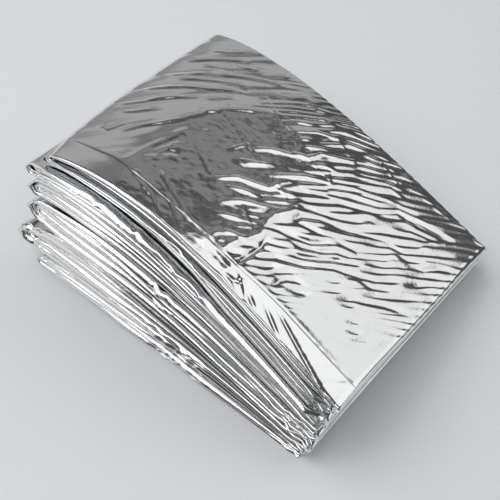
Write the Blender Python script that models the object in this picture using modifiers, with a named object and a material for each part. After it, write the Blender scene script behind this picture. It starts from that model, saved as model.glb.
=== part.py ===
"""Emergency foil blanket, folded to a packet and lying on its flat underside.

The blanket is one film sheet. Pleated to a strip of plies, it goes back and forth along X.
The strip turns at both ends. The -X end has sprung open into a fan of tips, and the packet
is a wedge that is tallest there. -Y is the near side, where the plies' folded edges show.

The flat strip is a grid, which a function lays along the folds. Solidify then gives it the
thickness of its pressed plies, which changes from place to place by a vertex group.

Lengths are in metres, +Z is up, and the origin is the middle of the packet on the floor.
"""

from math import cos, hypot, pi, sin
from typing import NamedTuple

import bmesh
import bpy
from mathutils import Matrix, Vector

NAME = "foil_blanket"
MM = 0.001

# The packet's nominal size, which the corner and bundle tables bend out of square.
LENGTH = 130 * MM
DEPTH = 108 * MM


class Corner(NamedTuple):
    """One corner of the packet: its height, and how far its top and foot stand off square."""

    height: float
    top_x: float
    top_y: float
    foot_x: float
    foot_y: float


NEAR_FAN = Corner(height=55 * MM, top_x=0.7 * MM, top_y=3.4 * MM, foot_x=2.6 * MM, foot_y=-0.9 * MM)
FAR_FAN = Corner(height=41 * MM, top_x=-1.8 * MM, top_y=-0.6 * MM, foot_x=0.0, foot_y=0.0)
NEAR_THIN = Corner(height=30 * MM, top_x=1.7 * MM, top_y=2.3 * MM, foot_x=-2.7 * MM, foot_y=-5.8 * MM)
FAR_THIN = Corner(height=14 * MM, top_x=0.2 * MM, top_y=-1.3 * MM, foot_x=0.8 * MM, foot_y=1.9 * MM)

# The top is domed along the packet. A skew under 1 brings the crown nearer the fan.
NEAR_DOME = 18.5 * MM
FAR_DOME = 11 * MM
NEAR_SKEW = 0.85
FAR_SKEW = 0.70

# Beside the long crease the top falls to the near edge.
CREASE_AT = 0.125
CREASE_RISE = 1.6 * MM
CREASE_FADES_AT = 0.6


class Bundle(NamedTuple):
    """Two passes of the strip, joined at one tip of the fan.

    seam_fan and seam_thin are the shares of the height where its lower seam runs at each end,
    mouth is how far that seam gapes at the fan, tip how far its tip reaches out on the near
    side and tip_far on the far side, near and near_thin how far its near edge stands out at
    each end, far how far its far edge does, and turn how far the turn below it reaches.
    """

    seam_fan: float
    seam_thin: float
    mouth: float
    tip: float
    tip_far: float
    near: float
    near_thin: float
    far: float
    turn: float


# fmt: off
BUNDLES = (
    #      seam_fan  seam_thin  mouth     tip        tip_far    near      near_thin  far        turn
    Bundle(0.965,    0.860,     0.2 * MM, -8.0 * MM, 1.4 * MM,  0.0 * MM, 0.2 * MM,  0.0 * MM,  0.4 * MM),
    Bundle(0.920,    0.720,     0.3 * MM, -4.0 * MM, 1.8 * MM,  0.8 * MM, 0.5 * MM,  0.5 * MM,  0.1 * MM),
    Bundle(0.800,    0.575,     1.6 * MM, 1.8 * MM,  1.2 * MM,  1.6 * MM, 1.2 * MM,  -0.4 * MM, 0.6 * MM),
    Bundle(0.635,    0.430,     1.2 * MM, 0.4 * MM,  0.8 * MM,  0.9 * MM, 0.3 * MM,  0.6 * MM,  0.0 * MM),
    Bundle(0.415,    0.285,     7.0 * MM, -0.2 * MM, -0.5 * MM, 1.9 * MM, 0.9 * MM,  0.1 * MM,  0.5 * MM),
    Bundle(0.125,    0.140,     4.0 * MM, 6.5 * MM,  1.0 * MM,  1.2 * MM, 1.4 * MM,  0.7 * MM,  -0.3 * MM),
    Bundle(0.000,    0.000,     0.0 * MM, 1.5 * MM,  0.3 * MM,  0.5 * MM, 0.0 * MM,  0.2 * MM,  0.0 * MM),
)
# fmt: on
PASSES = 2 * len(BUNDLES)
MOUTH_CLOSES_AT = 0.22
TIP_SPLAY = 3  # how fast the tips draw level from the near side to the far side

# A turn bulges about this far past the ends of its passes.
FAN_BULGE = 4.0 * MM
THIN_BULGE = 1.6 * MM

# Between one pass and the next: this much, and this share of a pass's pitch.
GAP_LEAST = 0.12 * MM
GAP_SHARE = 0.20

# Folded edges wave in and out a little, each bundle in its own step.
WAVE = 0.5 * MM
WAVES_ALONG = 2.3
WAVE_STEP = 2.1


class Station(NamedTuple):
    """A line along the packet: its share of the depth, its inset, and the strip's fullness."""

    share: float
    inset: float
    fullness: float


STATIONS = (
    Station(0.0, 0.0, 0.35),
    Station(0.0, 0.8 * MM, 0.80),
    Station(0.0, 2.6 * MM, 1.0),
    Station(CREASE_AT, 0.0, 1.0),
    Station(0.30, 0.0, 1.0),
    Station(0.50, 0.0, 1.0),
    Station(0.70, 0.0, 1.0),
    Station(0.88, 0.0, 1.0),
    Station(1.0, -2.6 * MM, 1.0),
    Station(1.0, -0.8 * MM, 0.80),
    Station(1.0, 0.0, 0.35),
)

PASS_SEGMENTS = 11
TURN_SEGMENTS = 4
TURN_POINT = 1.25  # a turn's reach over half its height: above 1 it is pointed
TURN_THINNING = 0.15  # the share of its thickness that the strip loses round a turn
END_CROWDING = 1.25  # above 1 a pass has more of its lines near the fan


def blend(start, end, share):
    """Return the value this share of the way from start to end."""
    return start + (end - start) * share


def over_corners(field, along, across):
    """Return a corner field's value at these shares of the length and the depth."""
    near = blend(getattr(NEAR_FAN, field), getattr(NEAR_THIN, field), along)
    far = blend(getattr(FAR_FAN, field), getattr(FAR_THIN, field), along)
    return blend(near, far, across)


def packet_height(along, across):
    """Return the height of the packet's top above the floor."""
    inside = min(max(along, 0.0), 1.0)
    skew = blend(NEAR_SKEW, FAR_SKEW, across)
    dome = blend(NEAR_DOME, FAR_DOME, across) * sin(pi * inside**skew)
    if across < CREASE_AT:
        rise = across / CREASE_AT
    else:
        rise = max(0.0, (CREASE_FADES_AT - across) / (CREASE_FADES_AT - CREASE_AT))
    return over_corners("height", along, across) + dome + CREASE_RISE * rise


def seam(number, along):
    """Return a seam's share of the height and half its gape. Seam 0 is the packet's top."""
    if number == 0:
        return 1.0, 0.0
    bundle = BUNDLES[number - 1]
    share = blend(bundle.seam_fan, bundle.seam_thin, along)
    gape = bundle.mouth * max(0.0, 1 - along / MOUTH_CLOSES_AT) ** 2
    return share, gape / 2


def pass_limits(number, along, across):
    """Return the heights of one pass's upper and lower face, with no gaps taken off yet."""
    height = packet_height(along, across)
    upper_share, upper_gape = seam(number // 2, along)
    lower_share, lower_gape = seam(number // 2 + 1, along)
    upper = upper_share * height - upper_gape
    lower = lower_share * height + lower_gape
    middle = (upper + lower) / 2
    return (upper, middle) if number % 2 == 0 else (middle, lower)


def pass_point(number, progress, station):
    """Return the middle of a pass this far from the fan to the thin end, and its thickness."""
    bundle = BUNDLES[number // 2]
    tip = blend(bundle.tip_far, bundle.tip, (1 - station.share) ** TIP_SPLAY) - FAN_BULGE
    turn = BUNDLES[max(number - 1, 0) // 2].turn - (THIN_BULGE if number > 0 else 0.0)
    along = blend(-tip / LENGTH, 1 + turn / LENGTH, progress)
    near = blend(bundle.near, bundle.near_thin, progress)
    wave = WAVE * sin(2 * pi * WAVES_ALONG * progress + WAVE_STEP * number)
    edge = blend(-near - wave, bundle.far + wave, station.share)
    across = station.share + (station.inset + edge) / DEPTH

    upper, lower = pass_limits(number, along, across)
    gap = GAP_LEAST + GAP_SHARE * (upper - lower)
    if number > 0:
        upper -= gap / 2
    if number < PASSES - 1:
        lower += gap / 2
    middle = (upper + lower) / 2

    share = middle / packet_height(along, across)
    x = blend(over_corners("foot_x", along, across), over_corners("top_x", along, across), share)
    y = blend(over_corners("foot_y", along, across), over_corners("top_y", along, across), share)
    x += LENGTH * (along - 0.5)
    y += DEPTH * (across - 0.5)
    return Vector((x, y, middle)), upper - lower


def pass_line(number, station):
    """Return a pass's points and thicknesses from the fan to the thin end."""
    steps = [(i / PASS_SEGMENTS) ** END_CROWDING for i in range(PASS_SEGMENTS + 1)]
    line = [pass_point(number, progress, station) for progress in steps]
    laid = []
    for i, (point, thickness) in enumerate(line):
        chord = line[min(i + 1, PASS_SEGMENTS)][0] - line[max(i - 1, 0)][0]
        levelness = chord.x / hypot(chord.x, chord.z)
        laid.append((point, thickness * levelness * station.fullness))
    return laid


def turn_line(before, after):
    """Return the points and thicknesses of the turn from one pass's last two to the next's first two."""
    (start, start_thickness), (end, end_thickness) = before[-1], after[0]
    middle = (start + end) / 2
    half = (start - end) / 2
    outward = (start - before[-2][0]).normalized() + (end - after[1][0]).normalized()
    reach = outward.normalized() * half.length * TURN_POINT
    line = []
    for i in range(1, TURN_SEGMENTS):
        angle = pi * i / TURN_SEGMENTS
        point = middle + half * cos(angle) + reach * sin(angle)
        thickness = blend(start_thickness, end_thickness, i / TURN_SEGMENTS)
        line.append((point, thickness * (1 - TURN_THINNING * sin(angle))))
    return line


def strip_line(station):
    """Return the whole strip's points and thicknesses at one station, top pass first."""
    line = []
    for number in range(PASSES):
        this_pass = pass_line(number, station)
        if number % 2 == 0:
            this_pass.reverse()
        if line:
            line += turn_line(line, this_pass)
        line += this_pass
    return line


def folded_sheet(lines):
    """Return a flat grid laid along the folds, and the thickness at each of its vertices."""
    columns, rows = len(lines[0]), len(lines)
    mesh = bpy.data.meshes.new(NAME)
    bm = bmesh.new()
    bmesh.ops.create_grid(bm, x_segments=columns - 1, y_segments=rows - 1, size=1.0)
    bm.verts.ensure_lookup_table()
    thicknesses = []
    for vert in bm.verts:
        column = round((vert.co.x + 1) / 2 * (columns - 1))
        row = round((vert.co.y + 1) / 2 * (rows - 1))
        vert.co, thickness = lines[row][column]
        thicknesses.append(thickness)
    bm.to_mesh(mesh)
    bm.free()
    return mesh, thicknesses


def foil():
    """Return the blanket's material: bright silver metallised film."""
    material = bpy.data.materials.new("metallised_film")
    material.use_nodes = True
    shader = material.node_tree.nodes["Principled BSDF"]
    shader.inputs["Base Color"].default_value = (0.78, 0.79, 0.80, 1.0)
    shader.inputs["Metallic"].default_value = 1.0
    shader.inputs["Roughness"].default_value = 0.18
    return material


def stand_over_origin(solid):
    """Move a finished object's mesh, so that the middle of its underside is at the origin."""
    finished = solid.evaluated_get(bpy.context.evaluated_depsgraph_get())
    low = Vector(map(min, *finished.bound_box))
    high = Vector(map(max, *finished.bound_box))
    middle = (low + high) / 2
    solid.data.transform(Matrix.Translation((-middle.x, -middle.y, -low.z)))


def main():
    """Build the folded blanket in a collection of its own."""
    for old in list(bpy.context.scene.objects):
        bpy.data.objects.remove(old, do_unlink=True)
    collection = bpy.data.collections.new(NAME)
    bpy.context.scene.collection.children.link(collection)

    mesh, thicknesses = folded_sheet([strip_line(station) for station in STATIONS])
    blanket = bpy.data.objects.new(NAME, mesh)
    collection.objects.link(blanket)
    blanket.data.materials.append(foil())

    thickest = max(thicknesses)
    group = blanket.vertex_groups.new(name="thickness")
    for index, thickness in enumerate(thicknesses):
        group.add([index], thickness / thickest, "REPLACE")
    solidify = blanket.modifiers.new("Plies", "SOLIDIFY")
    solidify.thickness = thickest
    solidify.offset = 0.0
    solidify.vertex_group = group.name
    solidify.use_quality_normals = True
    stand_over_origin(blanket)


main()
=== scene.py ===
"""Emergency foil blanket: metallised film folded to a packet, on a pale floor in soft light.

Three sheets of film stand for the CAD solid of the folded blanket. The lower and the upper
pleats are the strip that goes back and forth in the packet, each of its passes pleated to six
plies whose folded edges show on the near side. The top film is the outermost ply, with its
wrinkles and old creases.

The packet lies along X, from the open fan of tips at -X to the thin end, and -Y is its near
side. A place on it is given by its share of the length, along from the fan, and its share of
the depth, across from the near side. Where millimetres are named, x counts from the fan and y
from the near side. All else is in metres.
"""

import logging
import math
from dataclasses import dataclass, field
from enum import Enum

import bmesh
import bpy
import numpy as np
from mathutils import Matrix, Vector


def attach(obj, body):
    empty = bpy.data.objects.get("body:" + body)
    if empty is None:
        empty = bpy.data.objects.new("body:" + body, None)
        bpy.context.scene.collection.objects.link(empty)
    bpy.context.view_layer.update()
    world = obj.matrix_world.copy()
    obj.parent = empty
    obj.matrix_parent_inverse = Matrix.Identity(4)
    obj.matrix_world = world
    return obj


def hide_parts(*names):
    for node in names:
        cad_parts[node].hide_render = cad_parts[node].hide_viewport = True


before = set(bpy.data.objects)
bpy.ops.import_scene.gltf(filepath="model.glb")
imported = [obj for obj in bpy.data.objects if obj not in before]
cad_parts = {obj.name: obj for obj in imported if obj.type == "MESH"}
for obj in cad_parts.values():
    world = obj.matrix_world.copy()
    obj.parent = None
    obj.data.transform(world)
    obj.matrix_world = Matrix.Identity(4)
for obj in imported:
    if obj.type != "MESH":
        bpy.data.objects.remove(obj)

logging.basicConfig(level=logging.INFO, format="%(message)s")
log = logging.getLogger("foil_blanket")

Number = float | np.ndarray
Course = tuple[tuple[float, float], ...]

MM = 0.001
NODE = "foil_blanket"

# The packet's nominal length and depth, and where its middle lies on the nominal frame.
LENGTH = 130.0 * MM
DEPTH = 108.0 * MM
MIDDLE_X = -1.32755 * MM
MIDDLE_Y = -1.73686 * MM


class Kind(Enum):
    """What a placed fold is: a soft line up out of the film, or down into it."""

    RIDGE = 1.0
    TROUGH = -1.0


class Turn(Enum):
    """How the strip is turned from one pass into the next, with the power that narrows it."""

    PRESSED = 2.7
    ROUND = 1.0


@dataclass(frozen=True)
class Corner:
    """One corner of the packet: its height, and how far its top and foot stand off square."""

    height: float
    top_x: float
    top_y: float
    foot_x: float
    foot_y: float


NEAR_FAN = Corner(55 * MM, 0.7 * MM, 3.4 * MM, 2.6 * MM, -0.9 * MM)
FAR_FAN = Corner(41 * MM, -1.8 * MM, -0.6 * MM, 0.0, 0.0)
NEAR_THIN = Corner(30 * MM, 1.7 * MM, 2.3 * MM, -2.7 * MM, -5.8 * MM)
FAR_THIN = Corner(14 * MM, 0.2 * MM, -1.3 * MM, 0.8 * MM, 1.9 * MM)


@dataclass(frozen=True)
class Bundle:
    """Two passes of the strip, joined at one tip of the fan, in millimetres and shares.

    seam_fan and seam_thin are the shares of the height where its lower seam runs at each end,
    mouth is how far that seam gapes at the fan, tip and tip_far how far its tip reaches out on
    the near and far side, near and near_thin how far its near edge stands out at each end, far
    how far its far edge does, and turn how far the turn below it reaches.
    """

    seam_fan: float
    seam_thin: float
    mouth: float
    tip: float
    tip_far: float
    near: float
    near_thin: float
    far: float
    turn: float


BUNDLES = (
    Bundle(0.965, 0.860, 0.2, -8.0, 1.4, 0.0, 0.2, 0.0, 0.4),
    Bundle(0.920, 0.720, 0.3, -4.0, 1.8, 0.8, 0.5, 0.5, 0.1),
    Bundle(0.800, 0.575, 1.6, 1.8, 1.2, 1.6, 1.2, -0.4, 0.6),
    Bundle(0.635, 0.430, 1.2, 0.4, 0.8, 0.9, 0.3, 0.6, 0.0),
    Bundle(0.415, 0.285, 7.0, -0.2, -0.5, 1.9, 0.9, 0.1, 0.5),
    Bundle(0.125, 0.140, 4.0, 6.5, 1.0, 1.2, 1.4, 0.7, -0.3),
    Bundle(0.000, 0.000, 0.0, 1.5, 0.3, 0.5, 0.0, 0.2, 0.0),
)
PASSES = 2 * len(BUNDLES)
# How many passes the upper part of the strip has. The lower part has the rest.
UPPER_PASSES = 8


@dataclass(frozen=True)
class Folds:
    """Folds of one kind placed on the top, with their rise and half width.

    Lengths are in millimetres. Above 1, lean makes the side towards the near thin corner that
    many times wider and the other side as many times narrower. A course is a few points from
    end to end, each as x from the fan and y from the near side.
    """

    name: str
    kind: Kind
    rise: float
    half_width: float
    lean: float
    courses: tuple[Course, ...]


# fmt: off
TOP_FOLDS = (
    Folds("soft ridges on the fan side", Kind.RIDGE, 0.28, 0.95, 1.2, (
        ((7, 92.5), (15, 98), (21, 105)),
        ((6.5, 81.5), (16, 91.5), (23.5, 98)),
        ((14, 83), (21.5, 87.5), (30.5, 98)),
        ((13, 73.5), (19.5, 80)),
        ((21, 80.5), (28.5, 87), (35.5, 93), (41.5, 97)),
        ((9, 55.5), (17.5, 65), (24.5, 70), (34.5, 78.5)),
        ((14, 49), (20.5, 57.5), (26.5, 63.5)),
        ((28, 64), (35, 72.5)),
        ((24.5, 36), (30, 46.5), (35, 60), (37, 63.5), (41.5, 69), (50, 79)),
        ((12.5, 68.5), (21, 75), (31.5, 82.5)),
        ((7.5, 68), (12, 72.5)),
        ((31.5, 56.5), (35.5, 59.5)),
        ((36.5, 80), (42, 88), (47.5, 93), (51.5, 101)),
        ((34, 96), (39, 104)),
        ((22, 91.5), (28, 95)),
        ((6.5, 52), (11.5, 60), (16, 64.5)),
        ((6.5, 39), (13, 46.5), (16.5, 53.5), (21, 58)),
        ((10.5, 35.5), (14.5, 38.5), (20.5, 46.5)),
        ((19.5, 25.5), (23, 33.5), (27.5, 40), (30.5, 46)),
        ((10, 25), (15.5, 24), (17, 29.5)),
    )),
    Folds("soft folds beside the crease", Kind.TROUGH, 0.17, 1.1, 1.0, (
        ((33, 20.5), (34, 25), (37, 37)),
        ((37.5, 24.5), (39.5, 29), (43, 30)),
    )),
    Folds("old folds across the wrinkles", Kind.RIDGE, 0.10, 0.6, 1.0, (
        ((38, 62), (44.5, 59), (49.5, 57), (55.5, 54.5), (60, 53), (64, 52.5)),
        ((68, 50), (73, 48.5), (79, 45)),
        ((45.5, 82), (54.5, 77), (59, 75), (64, 73)),
        ((70.5, 71), (75, 70), (80.5, 70.5)),
        ((40, 40), (46.5, 36.5), (53.5, 32), (56, 31.5)),
        ((40.5, 19.5), (48, 15.5), (55, 12.5), (60.5, 10), (66.5, 7.5)),
        ((67.5, 31.5), (73, 27.5), (79, 24)),
        ((50.5, 12), (58, 7), (63.5, 3.5)),
        ((41, 9), (49, 6.5), (55, 3)),
        ((70.5, 92), (79, 88.5)),
        ((85, 100.5), (97, 96.5)),
    )),
    Folds("second ridge", Kind.RIDGE, 0.17, 1.3, 1.0, (
        ((32, 14), (33, 24.5), (34.5, 37), (35.5, 44)),
    )),
    Folds("low ridges in the middle", Kind.RIDGE, 0.29, 0.95, 1.2, (
        ((50.5, 46.5), (53.5, 55)),
        ((55.5, 55), (60, 61), (68, 68.5)),
        ((55.5, 45.5), (60.5, 51)),
        ((58, 45.5), (64.5, 56)),
        ((55.5, 29.5), (61, 39), (70, 45), (71.5, 52.5)),
        ((61, 32), (67, 37), (70.5, 38.5)),
        ((64.5, 24.5), (68, 31.5), (77, 39.5)),
        ((67.5, 20), (72.5, 25)),
        ((67, 51), (73.5, 60.5)),
        ((73, 47.5), (77, 50.5)),
        ((73.5, 16), (77.5, 18.5)),
    )),
    Folds("broad ridges round the middle", Kind.RIDGE, 0.42, 1.7, 1.0, (
        ((56, 98), (61.5, 101)),
        ((62, 95.5), (66, 98)),
        ((66, 93.5), (71.5, 103)),
        ((53, 98.5), (55.5, 102.5)),
        ((79.5, 25), (78, 36), (82, 47.5)),
        ((76.5, 8.5), (78, 17.5), (82, 30.5)),
        ((82, -1), (82.5, 6.5), (84.5, 7.5)),
        ((79.5, 46), (80, 51)),
        ((70.5, 10), (71.5, 7)),
    )),
    Folds("ridges on the far side", Kind.RIDGE, 0.30, 0.95, 1.0, (
        ((55, 81.5), (62, 89)),
        ((58.5, 76), (64, 86), (69, 91), (70, 94.5)),
        ((62, 74.5), (66.5, 82)),
        ((65, 73), (72.5, 84)),
        ((64.5, 67), (70, 71), (71.5, 78), (80, 87.5), (80, 91)),
        ((73, 70), (75.5, 74), (81, 77.5)),
        ((71, 57.5), (74.5, 62.5), (81, 69), (78, 72.5)),
        ((74, 53.5), (81.5, 66.5)),
        ((82, 65), (87.5, 72), (97, 81), (100, 85.5)),
        ((83, 62.5), (90.5, 69.5), (98, 78), (102.5, 86), (112, 92), (118.5, 100)),
        ((81.5, 69.5), (87.5, 76.5), (101, 88.5)),
        ((81, 72), (91, 85.5), (95, 91.5), (100.5, 93)),
        ((84.5, 82), (92.5, 92), (99, 97)),
        ((83.5, 85), (86.5, 87.5), (91, 94)),
        ((81.5, 87), (89.5, 96)),
        ((80.5, 92), (86.5, 97.5)),
        ((71, 91.5), (80, 98.5)),
        ((80, 96), (83.5, 98.5)),
    )),
    Folds("ridges along the far edge", Kind.RIDGE, 0.20, 0.75, 1.0, (
        ((84.5, 103), (89.5, 106)),
        ((91, 101.5), (97, 105)),
        ((96, 98.5), (106.5, 105.5)),
        ((101, 98), (104.5, 102), (115, 106.5)),
        ((105.5, 97.5), (109, 102.5), (116, 104.5)),
        ((115.5, 102), (121.5, 108), (127.5, 112), (137, 114)),
        ((121.5, 99.5), (126, 105.5), (132, 108)),
    )),
    Folds("wrinkles towards the thin end", Kind.TROUGH, 0.42, 1.15, 1.0, (
        ((81, 49), (86.5, 53.5), (92.5, 59.5), (98, 67)),
        ((83, 40), (84, 45.5), (88, 51), (96.5, 58.5), (104, 70.5), (112, 80.5), (117.5, 86)),
        ((86, 35.5), (92, 40), (96, 47)),
        ((92, 51.5), (102, 63.5), (111.5, 73.5), (116.5, 80.5)),
        ((96.5, 49), (103, 53.5), (111, 66)),
        ((88.5, 33.5), (96, 40.5), (99, 45.5), (102.5, 48.5), (112, 62.5)),
        ((90.5, 28.5), (97.5, 37), (100.5, 42), (108, 51)),
        ((103.5, 60), (109, 68), (113.5, 71), (125.5, 88.5)),
        ((92, 26.5), (98.5, 34), (102.5, 39.5), (105.5, 42), (113.5, 50), (118.5, 58)),
        ((108, 53), (114, 60.5)),
        ((109, 49.5), (115, 58)),
        ((112.5, 67.5), (116, 69.5), (120, 74.5)),
        ((117.5, 67.5), (122, 72), (125, 78), (128.5, 83)),
        ((120, 65), (127, 75.5)),
        ((111, 44.5), (114, 46), (120, 53.5)),
        ((122, 60.5), (126, 68)),
        ((114.5, 41.5), (121, 50.5), (126.5, 58.5)),
        ((110, 31), (113, 36), (120.5, 44.5), (127, 50)),
        ((88, 65), (97.5, 75), (102.5, 84), (111, 89.5), (121.5, 95.5)),
        ((88, 70.5), (97, 79), (101.5, 86.5), (109, 91.5)),
        ((99, 74.5), (106.5, 85), (114, 89), (122, 94)),
        ((106.5, 77.5), (110, 82.5), (119, 89.5)),
        ((85.5, 17.5), (88.5, 23), (95.5, 29.5), (98, 32.5)),
        ((90.5, 29), (94, 32.5), (99.5, 41), (103.5, 45.5)),
        ((88.5, 33.5), (91.5, 35), (98.5, 44)),
        ((83, 32.5), (89, 37), (92, 39.5), (95.5, 45.5)),
        ((85.5, 42.5), (92, 46.5)),
        ((90.5, 15.5), (94, 22), (96, 24.5)),
        ((94.5, 13), (94.5, 16.5), (95.5, 19.5), (97.5, 22), (100.5, 24)),
        ((98.5, 17), (102.5, 22)),
        ((88, 15), (90.5, 21)),
    )),
    Folds("short wrinkles by the thin end", Kind.TROUGH, 0.26, 0.7, 1.0, (
        ((103.5, 32), (107.5, 38.5)),
        ((105.5, 29), (109.5, 35)),
        ((112.5, 31), (114.5, 34)),
        ((117, 27.5), (119.5, 31)),
        ((119.5, 25), (121, 27)),
        ((122, 24), (124.5, 28)),
    )),
    Folds("pinched folds beside the crease", Kind.TROUGH, 0.38, 1.3, 1.0, (
        ((75, 5.5), (82, 4.5), (85.5, 4)),
    )),
    Folds("slanted folds in the margin", Kind.TROUGH, 0.42, 0.8, 1.0, (
        ((83, 8), (83.5, 21), (82.5, 27)),
        ((97, 5), (102, 2.5), (107, 0)),
        ((101.5, 7), (109, 4.5), (117, 2), (122, 0.5), (127, -0.5)),
        ((85, 2.5), (91, 0)),
        ((85.5, 5), (91, 1)),
        ((92, 3), (95, 1.5)),
        ((82, 1.5), (86, 3), (88.5, 6)),
    )),
)
# fmt: on


def blend(start: Number, end: Number, share: Number) -> Number:
    """Return the value this share of the way from start to end."""
    return start + (end - start) * share


def ease(share: Number) -> Number:
    """Return a share kept between 0 and 1, and eased at both ends."""
    inside = np.clip(share, 0.0, 1.0)
    return inside * inside * (3.0 - 2.0 * inside)


def ramp(place: Number, start: float, end: float) -> Number:
    """Return a share that goes from 0 at start to 1 at end, eased at both ends."""
    return ease((place - start) / (end - start))


def unit(vector: np.ndarray) -> np.ndarray:
    """Return a vector's direction, at length 1."""
    return vector / np.linalg.norm(vector)


def linear(colour: str) -> tuple[float, float, float, float]:
    """Return a colour as linear RGBA.

    Args:
        colour: The colour as an sRGB hex value.

    Returns:
        Its channels, each from 0 to 1.
    """
    channels = [int(colour[i : i + 2], 16) / 255 for i in (1, 3, 5)]
    curved = [c / 12.92 if c <= 0.04045 else ((c + 0.055) / 1.055) ** 2.4 for c in channels]
    return tuple(curved) + (1.0,)


@dataclass(frozen=True)
class Stretch:
    """A stretch of some near folds that differs from the rest.

    folds says which of a pass's near folds it takes in: 0 is the upper one, 1 the middle one
    and 2 the lower one. share says how much it differs, up to 1.
    """

    passes: tuple[int, ...]
    folds: tuple[int, ...]
    share: float


@dataclass(frozen=True)
class Crumple(Stretch):
    """A crumpled place, by its middle and half width in millimetres."""

    middle: float
    half_width: float

    def at(self, x: np.ndarray) -> np.ndarray:
        """Return how crumpled the folds are at x, from 0 to 1."""
        return self.share * np.exp(-(((x - self.middle) / self.half_width) ** 2))


@dataclass(frozen=True)
class Broad(Stretch):
    """A stretch of broader and more slanted folds, from start to end in millimetres."""

    start: float
    end: float
    fade: float = 8.0

    def at(self, x: np.ndarray) -> np.ndarray:
        """Return how broad the folds are made at x, from 0 to 1."""
        return self.share * ease((x - self.start) / self.fade) * ease((self.end - x) / self.fade)


ALL_FOLDS = (0, 1, 2)
CRUMPLES = (
    Crumple((4,), (0,), 1.0, middle=40.0, half_width=20.0),
    Crumple((2, 4), (0,), 1.0, middle=68.0, half_width=12.0),
    Crumple((8, 9), (0, 1), 1.0, middle=62.0, half_width=6.0),
    Crumple((11, 12, 13), ALL_FOLDS, 0.45, middle=72.0, half_width=11.0),
    Crumple((8, 9), ALL_FOLDS, 0.8, middle=121.0, half_width=7.0),
    Crumple(tuple(range(PASSES)), ALL_FOLDS, 0.7, middle=129.0, half_width=6.0),
    Crumple(tuple(range(2, PASSES)), ALL_FOLDS, 0.8, middle=-3.0, half_width=8.0),
)
BROAD_FOLDS = (
    Broad((4,), (0,), 0.4, start=16.0, end=60.0),
    Broad((2,), (0,), 0.4, start=52.0, end=78.0),
    Broad((4,), (0,), 1.0, start=76.0, end=146.0),
    Broad((11,), (0,), 0.7, start=68.0, end=86.0),
)

# How far the near folds of each pass stand out, in millimetres: its upper, middle and lower one.
# The upper folds of passes 2 and 4 are the two shelves under the top.
STAND_OUT = (
    (0.0, -0.4, 0.2),
    (-0.4, 0.3, -0.3),
    (1.5, 0.3, 0.6),
    (-0.3, 0.3, -0.4),
    (2.6, 1.5, 0.8),
    (0.7, 0.2, 0.6),
    (0.1, 0.6, 0.0),
    (0.5, 0.1, -0.2),
    (0.5, -0.1, 0.4),
    (0.1, 0.3, 0.8),
    (0.6, -0.1, 0.3),
    (0.7, 0.2, -0.2),
    (0.2, 0.5, -0.1),
    (0.4, 0.0, 0.1),
)

# The same towards the thin end, where the upper passes come out one by one and hide the shelves.
STAND_OUT_THIN = (
    (0.0, 0.1, 0.3),
    (0.2, 0.7, 0.5),
    (1.2, 1.0, 1.4),
    (1.2, 1.7, 1.5),
) + STAND_OUT[4:]
# From where to where along the packet the one table passes into the other, in millimetres.
THIN_FROM, THIN_TO = 66.0, 90.0

# Where the long crease beside the near edge runs, as y at x in millimetres.
CREASE_X = (0.0, 7.2, 21.1, 28.1, 35.6, 49.1, 82.8, 90.7, 100.9, 109.6, 127.1, 132.0)
CREASE_Y = (10.8, 10.8, 10.7, 11.4, 10.7, 9.2, 7.5, 8.5, 9.4, 9.5, 10.3, 10.5)

# How deep that crease is pressed, the same way.
CREASE_DEPTH_X = (0.0, 34.0, 37.0, 46.0, 49.0, 62.0, 72.0)
CREASE_DEPTH = (0.16, 0.16, 0.15, 0.15, 0.14, 0.14, 0.22)

# Where the main ridge runs between the fan side and the middle, the same way.
RIDGE_X = (23.4, 27.2, 31.6, 34.3, 37.0, 42.6, 48.8, 57.0)
RIDGE_Y = (24.1, 34.9, 47.2, 55.3, 62.2, 70.5, 78.4, 85.7)


@dataclass(frozen=True)
class Layer:
    """One layer of noise over a face, by the size of its swells each way in millimetres.

    Its shift moves it along the lattice, so that no two layers have the same swells. Its height
    is how far its values go up and down at the most.
    """

    x: float
    y: float
    shift: float = 0.0
    height: float = 1.0


@dataclass(frozen=True)
class Lanes:
    """Lines of noise along the strip, one for each fold or ply, by its number.

    swell is how long a swell is in metres. start and step say which line of the lattice each
    number has, and shift how far each one is moved along it.
    """

    swell: float
    start: float
    step: float
    shift: float = 0.0


class Noise:
    """Smooth seeded noise from about -1 to 1, on a lattice of unit cells."""

    SIDE = 256

    def __init__(self, seed: int) -> None:
        """Draw the lattice's values from a seed."""
        self.values = np.random.default_rng(seed).uniform(-1.0, 1.0, (self.SIDE, self.SIDE))

    def corner(self, column: np.ndarray, row: np.ndarray) -> np.ndarray:
        """Return the lattice's values at these columns and rows."""
        return self.values[row % self.SIDE, column % self.SIDE]

    def at(self, x: Number, y: Number) -> np.ndarray:
        """Return the noise at these places.

        Args:
            x: One coordinate, in cells.
            y: The other coordinate, in cells.

        Returns:
            An array of the inputs' shape.
        """
        x, y = np.broadcast_arrays(np.asarray(x, float), np.asarray(y, float))
        column, row = np.floor(x).astype(int), np.floor(y).astype(int)
        across, up = ease(x - column), ease(y - row)
        low = blend(self.corner(column, row), self.corner(column + 1, row), across)
        high = blend(self.corner(column, row + 1), self.corner(column + 1, row + 1), across)
        return blend(low, high, up)

    def over(self, layer: Layer, x: Number, y: Number) -> np.ndarray:
        """Return a layer's noise at places given in millimetres."""
        return layer.height * self.at(x / layer.x + layer.shift, y / layer.y)

    def on(self, lanes: Lanes, number: int, length: np.ndarray) -> np.ndarray:
        """Return the noise on one of these lanes at places along the strip."""
        line = lanes.start + lanes.step * number
        return self.at(length / lanes.swell + lanes.shift * number, line)


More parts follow.
